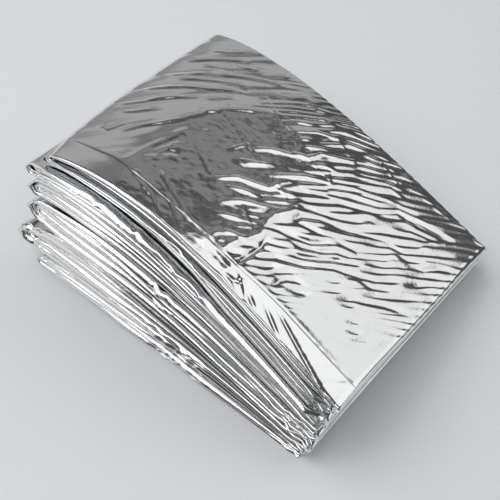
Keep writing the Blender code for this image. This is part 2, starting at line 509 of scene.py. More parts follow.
@dataclass(frozen=True)
class Packet:
    """The folded packet's form, which every sheet of film follows."""

    # The dome of the top along the packet. A skew under 1 brings its crown nearer the fan.
    near_dome: float = 18.5 * MM
    far_dome: float = 11.0 * MM
    near_skew: float = 0.85
    far_skew: float = 0.70
    # The top's rise from its near edge to the long crease, at the fan and at the thin end.
    fan_rise: float = 0.35 * MM
    thin_rise: float = 1.6 * MM
    # From where to where along the packet the one passes into the other, in millimetres.
    rise_from: float = 66.0
    rise_to: float = 84.0
    # The share of the depth where that rise has faded out, and the share of the length where
    # the seams that gape at the fan have closed.
    rise_fades_at: float = 0.6
    mouth_closes_at: float = 0.22
    # How fast the tips draw level from the near side to the far side.
    tip_splay: int = 3
    # How far a turn bulges past the ends of its passes, and how far the top pass reaches.
    fan_bulge: float = 4.0 * MM
    thin_bulge: float = 1.6 * MM
    top_turn: float = 0.4 * MM
    # Between one pass and the next: this much, and this share of a pass's thickness.
    gap_least: float = 0.12 * MM
    gap_share: float = 0.13

    def over_corners(self, name: str, along: Number, across: Number) -> Number:
        """Return a size that the corners give, between them.

        Args:
            name: The size's name in Corner.
            along: Shares of the length.
            across: Shares of the depth.

        Returns:
            The size at each place.
        """
        near = blend(getattr(NEAR_FAN, name), getattr(NEAR_THIN, name), along)
        far = blend(getattr(FAR_FAN, name), getattr(FAR_THIN, name), along)
        return blend(near, far, across)

    def crease(self, x: Number) -> Number:
        """Return where the long crease runs at x, in millimetres from the near side."""
        return np.interp(x, CREASE_X, CREASE_Y)

    def height(self, along: Number, across: Number) -> Number:
        """Return the height of the packet's top above the floor.

        Args:
            along: Shares of the length.
            across: Shares of the depth.

        Returns:
            The height at each place.
        """
        inside = np.clip(along, 0.0, 1.0)
        skew = blend(self.near_skew, self.far_skew, across)
        dome = blend(self.near_dome, self.far_dome, across) * np.sin(math.pi * inside**skew)
        x = along * LENGTH / MM
        crease = self.crease(x) * MM / DEPTH
        fade = (self.rise_fades_at - across) / (self.rise_fades_at - crease)
        share = np.minimum(across / crease, np.maximum(0.0, fade))
        full = blend(self.fan_rise, self.thin_rise, ramp(x, self.rise_from, self.rise_to))
        return self.over_corners("height", along, across) + dome + full * share

    def seam(self, number: int, along: Number) -> tuple[Number, Number]:
        """Return where the seam over a bundle runs.

        Args:
            number: The bundle, from 0 for the top one.
            along: Shares of the length.

        Returns:
            The seam's share of the height, and half its gape.
        """
        if number == 0:
            return 1.0, 0.0
        bundle = BUNDLES[number - 1]
        share = blend(bundle.seam_fan, bundle.seam_thin, along)
        shut = np.maximum(0.0, 1 - along / self.mouth_closes_at) ** 2
        return share, bundle.mouth * MM * shut / 2

    def slab(self, number: int, along: Number, across: Number) -> tuple[Number, Number]:
        """Return the heights between which a pass lies, with the gaps taken off.

        Args:
            number: The pass, from 0 for the top one.
            along: Shares of the length.
            across: Shares of the depth.

        Returns:
            The heights of its upper and of its lower face.
        """
        height = self.height(along, across)
        upper_share, upper_gape = self.seam(number // 2, along)
        lower_share, lower_gape = self.seam(number // 2 + 1, along)
        upper = upper_share * height - upper_gape
        lower = lower_share * height + lower_gape
        middle = (upper + lower) / 2
        upper, lower = (upper, middle) if number % 2 == 0 else (middle, lower)
        gap = self.gap_least + self.gap_share * (upper - lower)
        upper = upper - (gap / 2 if number > 0 else 0.0)
        lower = lower + (gap / 2 if number < PASSES - 1 else 0.0)
        return upper, lower

    def reach(self, number: int, across: Number) -> tuple[Number, float]:
        """Return where a pass ends.

        Args:
            number: The pass.
            across: Shares of the depth.

        Returns:
            The shares of the length where it ends at the fan, and at the thin end.
        """
        bundle = BUNDLES[number // 2]
        tip = blend(bundle.tip_far, bundle.tip, (1 - across) ** self.tip_splay) * MM
        turn = self.top_turn
        if number > 0:
            turn = BUNDLES[(number - 1) // 2].turn * MM - self.thin_bulge
        return (self.fan_bulge - tip) / LENGTH, 1 + turn / LENGTH

    def place(self, along: Number, across: Number, height: Number) -> np.ndarray:
        """Return points of the packet.

        Args:
            along: Shares of the length.
            across: Shares of the depth.
            height: Heights above the floor.

        Returns:
            An array of points, with x, y and z on its last axis.
        """
        share = height / self.height(along, across)
        foot_x, foot_y = (self.over_corners(name, along, across) for name in ("foot_x", "foot_y"))
        top_x, top_y = (self.over_corners(name, along, across) for name in ("top_x", "top_y"))
        x = blend(foot_x, top_x, share) + LENGTH * (along - 0.5) - MIDDLE_X
        y = blend(foot_y, top_y, share) + DEPTH * (across - 0.5) - MIDDLE_Y
        return np.stack(np.broadcast_arrays(x, y, height), axis=-1)


@dataclass(frozen=True)
class Finish:
    """The look of a material's surface, with the depth and size of its crumple in metres."""

    name: str
    colour: str
    metallic: float
    roughness: float
    crumple_depth: float = 0.0
    crumple_size: float = 0.0


# Metallised polyester: clear plastic film with a bright aluminium coat a few hundredths of a
# micrometre thick. To the eye it is a thin soft mirror. It shows the lights and the floor in
# hard-edged patches, and only the handling marks about a millimetre wide break them up.
FILM = Finish("metallised_film", "#e6e7e8", 1.0, 0.12, 0.035 * MM, 0.9 * MM)
# Matt paper: uncoated, so the floor has no gloss and only the packet's shadow on it.
PAPER = Finish("matt_paper", "#e4e6e8", 0.0, 0.9)


class Material:
    """A material made from its finish."""

    # How many finer layers the crumple's noise has.
    DETAIL = 3.0

    def __init__(self, finish: Finish) -> None:
        """Make the material, with a bump for its crumple if it has one.

        Args:
            finish: The look of its surface.
        """
        self.made = bpy.data.materials.new(finish.name)
        self.made.use_nodes = True
        self.tree = self.made.node_tree
        shader = self.tree.nodes["Principled BSDF"]
        shader.inputs["Base Color"].default_value = linear(finish.colour)
        shader.inputs["Metallic"].default_value = finish.metallic
        shader.inputs["Roughness"].default_value = finish.roughness
        if finish.crumple_size:
            place = self.add("ShaderNodeTexCoord", {})
            scale = 1 / finish.crumple_size
            links = {"Vector": place.outputs["Object"]}
            crumple = self.add("ShaderNodeTexNoise", links, Scale=scale, Detail=self.DETAIL)
            links = {"Height": crumple.outputs["Fac"]}
            bump = self.add("ShaderNodeBump", links, Strength=1.0, Distance=finish.crumple_depth)
            self.tree.links.new(bump.outputs["Normal"], shader.inputs["Normal"])

    def add(
        self, kind: str, links: dict[str, bpy.types.NodeSocket], **values: float
    ) -> bpy.types.Node:
        """Add a node with its links and settings.

        Args:
            kind: The node's type.
            links: The sockets that feed it, by input name.
            values: The values set on it, by input name.

        Returns:
            The new node.
        """
        node = self.tree.nodes.new(kind)
        for name, value in values.items():
            node.inputs[name].default_value = value
        for name, socket in links.items():
            self.tree.links.new(socket, node.inputs[name])
        return node


@dataclass
class FilmSheet:
    """A rectangular sheet of film laid along folds."""

    name: str
    material: bpy.types.Material

    def lay(self, places: np.ndarray) -> bpy.types.Object:
        """Make a flat grid and lay it along these places.

        Args:
            places: An array of rows by columns of points, in metres.

        Returns:
            The sheet's object, at the origin.
        """
        rows, columns = places.shape[:2]
        mesh = bpy.data.meshes.new(self.name)
        bm = bmesh.new()
        bmesh.ops.create_grid(bm, x_segments=columns - 1, y_segments=rows - 1, size=1.0)
        for vert in bm.verts:
            column = round((vert.co.x + 1) / 2 * (columns - 1))
            row = round((vert.co.y + 1) / 2 * (rows - 1))
            vert.co = places[row, column]
        for face in bm.faces:
            face.smooth = True
        bm.to_mesh(mesh)
        bm.free()
        sheet = bpy.data.objects.new(self.name, mesh)
        bpy.context.scene.collection.objects.link(sheet)
        sheet.data.materials.append(self.material)
        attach(sheet, "root")
        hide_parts(NODE)
        log.info("%s: %d by %d places", self.name, rows, columns)
        return sheet


@dataclass(frozen=True)
class Row:
    """A row of the strip's section: its share of the depth, its ply, and its angle in a fold."""

    share: float
    ply: int
    angle: float = 0.0

    @property
    def near(self) -> bool:
        """Return whether the row is on the near side of the packet."""
        return self.share < 0.5

    @property
    def hairpin(self) -> int:
        """Return the number of the near fold that the ply belongs to."""
        return self.ply // 2


@dataclass(frozen=True)
class Run:
    """One row's places along one pass, from its first place on the strip to its last.

    progress goes from 0 at the fan to 1 at the thin end, length is the way along the flat
    strip, and along is the share of the packet's length.
    """

    number: int
    row: Row
    progress: np.ndarray
    length: np.ndarray
    along: np.ndarray

    @property
    def x(self) -> np.ndarray:
        """Return the places in millimetres from the fan."""
        return self.along * LENGTH / MM

    @property
    def bundle(self) -> Bundle:
        """Return the bundle that the pass is in."""
        return BUNDLES[self.number // 2]

    def counted(self, hairpin: int) -> int:
        """Return a near fold's number as counted from the top, whichever way up the pass is."""
        return hairpin if self.number % 2 == 0 else 2 - hairpin

    def strongest(self, stretches: tuple[Crumple | Broad, ...], hairpin: int) -> np.ndarray:
        """Return how much these stretches change a near fold.

        Args:
            stretches: The stretches, of one kind.
            hairpin: The near fold.

        Returns:
            The share of the strongest of them at each place.
        """
        found = 0.0 * self.x
        for stretch in stretches:
            if self.number in stretch.passes and self.counted(hairpin) in stretch.folds:
                found = np.maximum(found, stretch.at(self.x))
        return found


@dataclass
class PleatedFilm:
    """A part of the strip of six plies that goes back and forth in the packet's passes."""

    packet: Packet
    material: bpy.types.Material
    name: str
    first: int
    last: int
    rests_on: str
    plies: int = 6
    # The flat film's width in one ply, and its length in one pass.
    ply_width: float = 0.105
    pass_length: float = 0.127
    # Places along a pass, round a turn, and round a near and a far fold.
    pass_segments: int = 172
    turn_segments: int = 8
    hairpin_segments: int = 8
    far_hairpin_segments: int = 4
    # Above 1, it brings the places of a pass closer together at the fan.
    fan_crowding: float = 1.15
    # How far a turn reaches out, over half the height between its passes.
    turn_point: float = 1.25
    # Shares of a pass's thickness: between its near folds, and above and below its plies.
    film_gap: float = 0.07
    film_margin: float = 0.02
    # How unequal the near folds are, and how fast they even out across the packet.
    fold_contrast: float = 0.95
    evening_out: float = 1.3
    # How far a near fold leans outward below, over its size, and at what share it turns about.
    lean: float = 0.9
    broad_lean: float = 1.6
    broad_share: float = 1.8
    lean_pivot: float = 0.7
    # How far a fold bulges, over its size, and the power that rounds it.
    bulge: float = 0.4
    bulge_power: float = 0.7
    # In millimetres: how far the plies end inside the packet's sides, how much the near and far
    # edges wander, how uneven the tips are, and the room left for the top film. Where the top
    # pass is thin, that room is only this share of it.
    inset: float = 1.6
    near_wander: float = 0.7
    far_wander: float = 0.5
    uneven_tips: float = 1.5
    top_room: float = 0.8
    top_room_share: float = 0.5
    # Teeth of the near edges in millimetres, in plain places and in crumpled ones, and how far
    # they lift the film there.
    plain_teeth: float = 0.015
    crumpled_teeth: float = 0.95
    crumpled_lift: float = 0.06
    # The share of the depth where that lift and the uneven tips have faded out.
    near_fades_at: float = 0.6
    noise: Noise = field(default_factory=lambda: Noise(11))

    # Shares of the depth where a ply has its places, from the near side to the far side.
    PLACES = (0.0, 0.012, 0.04, 0.12, 0.5, 0.95, 1.0)
    # How many of its eased ends a fold's standing out would fit in a pass, at each end.
    FAN_FADES, THIN_FADES = 10, 20
    # The noise that each thing follows. A tip's unevenness has one place for each fold and tip.
    FOLD_SIZES = Lanes(0.055, 0.0, 3.1, 7.3)
    NEAR_EDGES = Lanes(0.03, 40.5, 9.7)
    FAR_EDGES = Lanes(0.04, 60.5, 7.3)
    COARSE_TEETH = Lanes(0.009, 80.5, 5.3)
    FINE_TEETH = Lanes(0.003, 20.5, 5.3)
    FOLD_STEP, TIP_STEP, TIP_LANE = 9.7, 31.3, 0.5
    # The crest of the coarse and the fine teeth, and how deep they are cut, in millimetres.
    COARSE_CUT, FINE_CUT = (0.7, 2.4), (0.5, 1.6)
    # A row stays this far inside its pass, as shares of the thickness.
    LEAST, MOST = 0.01, 0.99

    def rows(self) -> list[Row]:
        """Return the strip's section.

        Returns:
            Its rows, ply after ply with the folds between them.
        """
        found = []
        for ply in range(self.plies):
            inward = ply % 2 == 1
            shares = self.PLACES if inward else self.PLACES[::-1]
            found += [Row(share, ply) for share in shares]
            if ply == self.plies - 1:
                break
            count = self.far_hairpin_segments if inward else self.hairpin_segments
            side = 1.0 if inward else 0.0
            found += [Row(side, ply, math.pi * i / count) for i in range(1, count)]
        return found

    def levels(self, run: Run) -> list[np.ndarray]:
        """Return where each ply lies in its pass.

        Args:
            run: The row's places along the pass.

        Returns:
            Each ply's share of the pass's thickness at each place, from its lower face.
        """
        gap, margin = self.film_gap, self.film_margin
        hairpins = range(self.plies // 2)
        contrasts = [self.noise.on(self.FOLD_SIZES, i, run.length) for i in hairpins]
        sizes = np.stack([np.exp(self.fold_contrast * contrast) for contrast in contrasts])
        for i in hairpins:
            sizes[i] *= 1 + self.broad_share * run.strongest(BROAD_FOLDS, i)
        sizes = sizes / sizes.sum(axis=0) * (1 - 2 * gap - 2 * margin)
        near, level = [], margin + 0.0 * run.length
        for i in hairpins:
            near += [level, level + sizes[i]]
            level = level + sizes[i] + gap
        far = [margin, margin + gap, 0.5 - gap / 2, 0.5 + gap / 2, 1 - margin - gap, 1 - margin]
        evened = ease(run.row.share * self.evening_out)
        found = [blend(n, f, evened) for n, f in zip(near, far)]
        return found if run.number % 2 == 0 else [1 - level for level in found]

    def section(self, run: Run) -> tuple[np.ndarray, np.ndarray, np.ndarray]:
        """Return how a row lies in the thickness of its pass.

        Args:
            run: The row's places along the pass.

        Returns:
            Its level, the size of the fold it is in, and its level within that fold, as shares.
        """
        row, nothing = run.row, 0.0 * run.length
        levels = self.levels(run)
        turned = (1 - math.cos(row.angle)) / 2
        if row.near:
            first, second = levels[2 * row.hairpin], levels[2 * row.hairpin + 1]
            size = np.abs(second - first)
            level = blend(first, second, turned) if row.angle else levels[row.ply]
            return level, size, (level - np.minimum(first, second)) / size
        if row.angle:
            first, second = levels[row.ply], levels[row.ply + 1]
            return blend(first, second, turned), np.abs(second - first), nothing
        return levels[row.ply], nothing, nothing

    def teeth(self, run: Run) -> np.ndarray:
        """Return the teeth that a near edge has where it is crumpled.

        Args:
            run: The row's places along the pass.

        Returns:
            How far they stand out at each place, in millimetres.
        """
        coarse = np.abs(self.noise.on(self.COARSE_TEETH, run.row.hairpin, run.length))
        fine = np.abs(self.noise.on(self.FINE_TEETH, run.row.hairpin, run.length))
        (crest, cut), (fine_crest, fine_cut) = self.COARSE_CUT, self.FINE_CUT
        return crest - cut * coarse + fine_crest - fine_cut * fine

    def near_out(self, run: Run, crumpled: np.ndarray) -> np.ndarray:
        """Return how far a near edge stands out, in millimetres, before it leans.

        Args:
            run: The row's places along the pass.
            crumpled: How crumpled the edge is at each place.

        Returns:
            The distance at each place.
        """
        hairpin, progress = run.row.hairpin, run.progress
        fold = run.counted(hairpin)
        by_fan, by_thin = STAND_OUT[run.number][fold], STAND_OUT_THIN[run.number][fold]
        stand_out = blend(by_fan, by_thin, ramp(run.x, THIN_FROM, THIN_TO))
        ends = ease((1 - progress) * self.THIN_FADES)
        offset = stand_out * ease(progress * self.FAN_FADES) * ends
        wander = self.noise.on(self.NEAR_EDGES, hairpin, run.length) * self.near_wander
        teeth = self.teeth(run) * (self.plain_teeth + self.crumpled_teeth * crumpled)
        return blend(run.bundle.near, run.bundle.near_thin, progress) + offset + wander + teeth

    def run(self, number: int, row: Row) -> Run:
        """Return one row's places along one pass of the strip.

        Args:
            number: The pass.
            row: The row.

        Returns:
            Its places.
        """
        steps = (np.arange(self.pass_segments + 1) / self.pass_segments) ** self.fan_crowding
        progress = steps[::-1] if number % 2 == 0 else steps
        done = 1 - progress if number % 2 == 0 else progress
        start, end = self.packet.reach(number, row.share)
        key = self.FOLD_STEP * row.hairpin + self.TIP_STEP * (number // 2)
        uneven = float(self.noise.at(key, self.TIP_LANE))
        start = start + self.nearness(row) * self.uneven_tips * MM * uneven / LENGTH
        return Run(number, row, progress, LENGTH * (number + done), blend(start, end, progress))

    def nearness(self, row: Row) -> float:
        """Return how near a row is to the near side, from 1 there to 0."""
        return max(0.0, 1 - row.share / self.near_fades_at)

    def points(self, run: Run) -> np.ndarray:
        """Return one row's points along one pass of the strip.

        Args:
            run: The row's places along the pass.

        Returns:
            An array of points.
        """
        number, row = run.number, run.row
        level, size, in_fold = self.section(run)
        upper, lower = self.packet.slab(number, run.along, row.share)
        thickness = (upper - lower) / MM
        crumpled = run.strongest(CRUMPLES, row.hairpin)
        out = 0.0 * run.length
        if row.near:
            broad = run.strongest(BROAD_FOLDS, row.hairpin)
            lean = blend(self.lean, self.broad_lean, broad)
            leaning = lean * (in_fold - self.lean_pivot) * size * thickness
            out = self.near_out(run, crumpled) + leaning
        bulge = self.bulge * thickness * size * math.sin(row.angle) ** self.bulge_power
        wander = self.far_wander * self.noise.on(self.FAR_EDGES, row.ply, run.length)
        far = run.bundle.far + wander
        edge = blend(-out + self.inset - bulge, far - self.inset + bulge, row.share)
        across = row.share + edge * MM / DEPTH
        upper, lower = self.packet.slab(number, run.along, across)
        if number == 0:
            most = self.top_room_share * (upper - lower)
            upper = upper - np.minimum(self.top_room * MM, most)
        lift = self.crumpled_lift * crumpled * self.nearness(row) * self.teeth(run)
        level = np.clip(level + lift, self.LEAST, self.MOST)
        return self.packet.place(run.along, across, blend(upper, lower, level))

    def line(self, row: Row) -> np.ndarray:
        """Return one row's points along this part of the strip.

        The part ends with the turn into the next pass, whose first place closes it.

        Args:
            row: The row.

        Returns:
            An array of points.
        """
        numbers = range(self.first, min(self.last + 2, PASSES))
        passes = [self.points(self.run(number, row)) for number in numbers]
        found = [passes[0]]
        for number, before, after in zip(numbers, passes[:-1], passes[1:]):
            kind = Turn.PRESSED if number % 2 == 0 else Turn.ROUND
            found += [self.turn(before, after, kind), after]
        if self.last + 1 < PASSES:
            found[-1] = found[-1][:1]
        return np.concatenate(found)

    def turn(self, before: np.ndarray, after: np.ndarray, kind: Turn) -> np.ndarray:
        """Return the points of the turn from one pass's end to the next one's start.

        Args:
            before: The points of the pass that ends here.
            after: The points of the pass that starts here.
            kind: How the turn is pressed.

        Returns:
            The points between the two.
        """
        start, end = before[-1], after[0]
        middle, half = (start + end) / 2, (start - end) / 2
        outward = unit(unit(start - before[-2]) + unit(end - after[1]))
        reach = outward * np.linalg.norm(half) * self.turn_point
        angles = math.pi * np.arange(1, self.turn_segments)[:, None] / self.turn_segments
        side = np.sign(np.cos(angles)) * np.abs(np.cos(angles)) ** kind.value
        return middle + half * side + reach * np.sin(angles)

    def build(self) -> bpy.types.Object:
        """Returns:
            The sheet's object.
        """
        places = np.stack([self.line(row) for row in self.rows()])
        sheet = FilmSheet(self.name, self.material).lay(places)
        return sheet


@dataclass(frozen=True)
class Spread:
    """How places are spread along one side of the top film.

    count is how many places the face has there. Round middle, a share of the side, they are
    density times closer, and that fades over width, another share.
    """

    count: int
    density: float
    middle: float
    width: float

    # The turn down past each end of the face, and how finely the spread is worked out.
    TURN_DOWN = 0.8 * math.pi
    STEPS = 2001

    def places(self, edge_places: int) -> tuple[np.ndarray, np.ndarray]:
        """Return the places along the side.

        Args:
            edge_places: How many more places turn down past each end of the face.

        Returns:
            Each place's share of the side, and its turn down as an angle. The turn is 0 on the
            face, and negative at the start of the side.
        """
        angles = np.linspace(0.0, self.TURN_DOWN, edge_places + 1)[1:]
        steps = np.linspace(0.0, 1.0, self.STEPS)
        crowd = 1.0 + (self.density - 1.0) * np.exp(-(((steps - self.middle) / self.width) ** 2))
        place = np.concatenate([[0.0], np.cumsum((crowd[1:] + crowd[:-1]) / 2)])
        shares = np.interp(np.linspace(0.0, place[-1], self.count), place, steps)
        shares = np.concatenate([np.zeros(edge_places), shares, np.ones(edge_places)])
        turned = np.concatenate([-angles[::-1], np.zeros(self.count), angles])
        return shares, turned


@dataclass
class TopFilm:
    """The outermost ply, which covers the packet's top and turns down over its edges."""

    packet: Packet
    material: bpy.types.Material
    # Its places lie closer where the wrinkles are and at the long crease.
    along: Spread = Spread(328, 1.5, 0.72, 0.35)
    across: Spread = Spread(276, 3.0, 0.085, 0.05)
    edge_places: int = 7
    # How the film turns down: the drop's radius at the fan, the thin end and the sides, how far
    # it bulges there, and how far its sides are set in.
    fan_radius: float = 1.3 * MM
    thin_radius: float = 0.9 * MM
    side_radius: float = 0.55 * MM
    fan_bulge: float = 2.6 * MM
    thin_bulge: float = 1.6 * MM
    side_bulge: float = 1.1 * MM
    side_inset: float = 0.9 * MM
    # In millimetres: the crown across the packet, where it is and between which places along
    # the packet it comes, and the main ridge, with its slope on each side and its fading ends.
    crown: float = 1.8
    crown_at: float = 74.0
    crown_starts: tuple[float, float] = (10.0, 60.0)
    ridge_rise: float = 0.42
    ridge_near: float = 12.0
    ridge_far: float = 24.0
    ridge_fade: float = 8.0
    # The direction of the even wrinkles, and in millimetres their pitch and their rise.
    wrinkle_angle: float = math.radians(54)
    wrinkle_pitch: float = 3.0
    wrinkle_rise: float = 0.13
    # The rise of the other uneven forms, in millimetres.
    fan_swell_rise: float = 0.13
    crumple_rise: float = 0.085
    faint_rise: float = 0.05
    noise: Noise = field(default_factory=lambda: Noise(5))

    # How far a fold runs on past the ends of its course and fades there, in millimetres.
    RUN_ON, FADE = 3.0, 8.0
    # How many half widths from its course a fold still shows.
    FOLD_REACH = 3
    # The width of the bare margin beside the long crease, in millimetres.
    MARGIN = 3
    # The noise that each thing follows. The swells on the fan side and all wrinkles are long
    # in the wrinkles' direction.
    WRINKLE_BENDS = Layer(30, 30, 0, 2.2)
    WRINKLE_WAVES = Layer(15, 6, 40, 2.6)
    WRINKLE_STRENGTH = Layer(12, 3.4, 80, 0.8)
    FAN_SWELLS = (Layer(40, 4.5, 120), Layer(25, 2.2, 160, 0.5))
    CRUMPLES = (Layer(4.2, 4.2, 7), Layer(1.7, 1.7, 31, 0.45))
    PILLOWS = Layer(9, 13, 350, 0.17)
    FAINT = (Layer(7, 1.6, 280), Layer(3, 0.9, 300, 0.5))
    SAGS = Layer(22, 22, 200, 0.22)
    # The crease follows one line of its layer, and has this share of its depth on average.
    CREASE_SWELLS, CREASE_LINE, CREASE_MEAN = Layer(7, 1, 240, 0.3), 0.5, 0.9
    # The least share of their rise that the even wrinkles keep.
    WEAKEST_WRINKLE = 0.4
    # The parts of the top, by the places between which each comes or goes, in millimetres. The
    # middle part loses a share of its crumple towards the far side.
    FAN_SIDE_ENDS = (38, 54)
    MIDDLE_STARTS, MIDDLE_ENDS = (30, 38), (74, 88)
    MIDDLE_FALLS, MIDDLE_LOSS = (70, 90), 0.6
    THIN_SIDE_STARTS = (66, 80)
    FAR_SIDE_STARTS, FAR_SIDE_ALONG = (62, 87), (34, 59)
    PLAIN_ALONG, PLAIN_ACROSS = (96, 112), (46, 30)
    # The crease's half width on its near and far side in millimetres, first by the fan and then
    # by the thin end, and where the one passes into the other.
    CREASE_NEAR, CREASE_FAR = (3.5, 0.45), (0.5, 0.45)
    CREASE_NARROWS = (60, 72)

    def form(self, x: np.ndarray, y: np.ndarray) -> np.ndarray:
        """Return how far the film's form stands above the packet's, in millimetres.

        Args:
            x: Millimetres from the fan.
            y: Millimetres from the near side.

        Returns:
            The rise at each place.
        """
        up = ease(y / self.crown_at)
        down = 1 - ((y - self.crown_at) / (DEPTH / MM - self.crown_at)) ** 2
        crown = self.crown * np.where(y < self.crown_at, up, down)
        return crown * ramp(x, *self.crown_starts) + self.main_ridge(x, y)

    def main_ridge(self, x: np.ndarray, y: np.ndarray) -> np.ndarray:
        """Return the rise of the long ridge between the fan side and the middle.

        Args:
            x: Millimetres from the fan.
            y: Millimetres from the near side.

        Returns:
            The rise at each place, in millimetres.
        """
        off = y - np.interp(x, RIDGE_X, RIDGE_Y)
        starts, ends = (x - RIDGE_X[0]) / self.ridge_fade, (RIDGE_X[-1] - x) / self.ridge_fade
        slopes = np.where(off < 0, np.exp(off / self.ridge_near), np.exp(-off / self.ridge_far))
        return self.ridge_rise * (ease(starts) * ease(ends)) * slopes

    def even_wrinkles(self, s: np.ndarray, t: np.ndarray) -> np.ndarray:
        """Return the even wrinkles, from -1 to 1.

        Args:
            s: Millimetres along the wrinkles.
            t: Millimetres across them.

        Returns:
            Their height at each place, as a share of the full one.
        """
        bent = t + self.noise.over(self.WRINKLE_BENDS, s, t)
        waves = self.noise.over(self.WRINKLE_WAVES, s, t)
        phase = 2 * math.pi * bent / self.wrinkle_pitch + waves
        strength = ease(0.5 + self.noise.over(self.WRINKLE_STRENGTH, s, t))
        return blend(self.WEAKEST_WRINKLE, 1.0, strength) * np.sin(phase)

    def wrinkles(self, x: np.ndarray, y: np.ndarray) -> np.ndarray:
        """Return how far the film stands above its form, in millimetres.

        The placed folds lie over the noise. Even wrinkles fill in between them.

        Args:
            x: Millimetres from the fan.
            y: Millimetres from the near side.

        Returns:
            The rise at each place.
        """
        over = self.noise.over
        cos, sin = math.cos(self.wrinkle_angle), math.sin(self.wrinkle_angle)
        s, t = x * cos + y * sin, -x * sin + y * cos
        margin = ease((y - self.packet.crease(x)) / self.MARGIN)
        fan_side = margin * (1 - ramp(x, *self.FAN_SIDE_ENDS))
        middle = ramp(x, *self.MIDDLE_STARTS) * (1 - ramp(x, *self.MIDDLE_ENDS))
        middle = middle * (1 - self.MIDDLE_LOSS * ramp(y, *self.MIDDLE_FALLS))
        far_side = ramp(y, *self.FAR_SIDE_STARTS) * ramp(x, *self.FAR_SIDE_ALONG)
        wrinkled = np.maximum(ramp(x, *self.THIN_SIDE_STARTS), far_side)
        plain = ramp(x, *self.PLAIN_ALONG) * ramp(y, *self.PLAIN_ACROSS)

        large, small = (over(layer, s, t) for layer in self.FAN_SWELLS)
        rise = self.fan_swell_rise * (large + small) * fan_side
        large, small = (over(layer, x, y) for layer in self.CRUMPLES)
        crumple = self.crumple_rise * (large + small)
        rise = rise + (crumple + over(self.PILLOWS, x, y)) * middle
        large, small = (over(layer, s, t) for layer in self.FAINT)
        rise = rise + self.faint_rise * plain * (large + small)
        rise = rise + over(self.SAGS, x, y) * margin
        covered = np.zeros(x.shape)
        for folds in TOP_FOLDS:
            for course in folds.courses:
                beside = self.beside(x, y, course, folds)
                rise = rise + folds.kind.value * folds.rise * beside
                covered = np.maximum(covered, beside)
        even = self.wrinkle_rise * wrinkled * (1 - plain) * margin * self.even_wrinkles(s, t)
        return rise + even * (1 - covered) - self.crease(x, y)

    def crease(self, x: np.ndarray, y: np.ndarray) -> np.ndarray:
        """Return how deep the long crease is pressed, in millimetres.

        Args:
            x: Millimetres from the fan.
            y: Millimetres from the near side.

        Returns:
            The depth at each place.
        """
        off = y - self.packet.crease(x)
        share = ramp(x, *self.CREASE_NARROWS)
        near, far = (blend(*widths, share) for widths in (self.CREASE_NEAR, self.CREASE_FAR))
        width = np.where(off < 0, near, far)
        depth = np.interp(x, CREASE_DEPTH_X, CREASE_DEPTH)
        uneven = self.noise.over(self.CREASE_SWELLS, x, self.CREASE_LINE)
        return depth * np.exp(-((off / width) ** 2)) * (self.CREASE_MEAN + uneven)

    def beside(self, x: np.ndarray, y: np.ndarray, course: Course, folds: Folds) -> np.ndarray:
        """Return how much of a fold's rise there is beside its course.

        Args:
            x: Millimetres from the fan.
            y: Millimetres from the near side.
            course: The fold's course.
            folds: The group that it belongs to.

        Returns:
            1 on the course, falling smoothly to 0 beside it and towards its ends.
        """
        course = self.run_on(course)
        xs, ys = zip(*course)
        wide, narrow = folds.half_width * folds.lean, folds.half_width / folds.lean
        reach = self.FOLD_REACH * wide
        near = (x > min(xs) - reach) & (x < max(xs) + reach)
        near = near & (y > min(ys) - reach) & (y < max(ys) + reach)
        px, py = x[near], y[near]
        nearest, passed, width = np.full(px.shape, np.inf), np.zeros(px.shape), np.ones(px.shape)
        total = 0.0
        for (x0, y0), (x1, y1) in zip(course[:-1], course[1:]):
            run = math.hypot(x1 - x0, y1 - y0)
            share = np.clip(((px - x0) * (x1 - x0) + (py - y0) * (y1 - y0)) / run**2, 0.0, 1.0)
            gap_x, gap_y = px - x0 - share * (x1 - x0), py - y0 - share * (y1 - y0)
            gap = np.hypot(gap_x, gap_y)
            closer = gap < nearest
            width = np.where(closer, np.where(gap_x > gap_y, wide, narrow), width)
            nearest = np.where(closer, gap, nearest)
            passed = np.where(closer, total + share * run, passed)
            total += run
        fade = ease(np.minimum(passed, total - passed) / min(self.FADE, total / 2))
        found = np.zeros(x.shape)
        found[near] = fade * np.exp(-((nearest / width) ** 2))
        return found

    def run_on(self, course: Course) -> list[tuple[float, float]]:
        """Return a fold's course a little longer at both ends.

        Args:
            course: The course.

        Returns:
            The points of the longer one.
        """
        points = [Vector(point) for point in course]
        points[0] = points[0] + (points[0] - points[1]).normalized() * self.RUN_ON
        points[-1] = points[-1] + (points[-1] - points[-2]).normalized() * self.RUN_ON
        return [(point.x, point.y) for point in points]

    def build(self) -> bpy.types.Object:
        """Returns:
            The sheet's object.
        """
        along_share, along_turn = self.along.places(self.edge_places)
        across_share, across_turn = self.across.places(self.edge_places)
        a, b = np.meshgrid(along_share, across_share)
        at, bt = np.meshgrid(along_turn, across_turn)
        start, end = self.packet.reach(0, b)
        radius_x = np.where(at < 0, self.fan_radius, self.thin_radius)
        bulge_x = np.where(at < 0, self.fan_bulge, self.thin_bulge)
        along = blend(start, end, a) + np.sign(at) * bulge_x * np.sin(np.abs(at)) / LENGTH
        edge = blend(self.side_inset, -self.side_inset, b)
        across = b + (edge + np.sign(bt) * self.side_bulge * np.sin(np.abs(bt))) / DEPTH
        drop = radius_x * (1 - np.cos(at)) + self.side_radius * (1 - np.cos(bt))
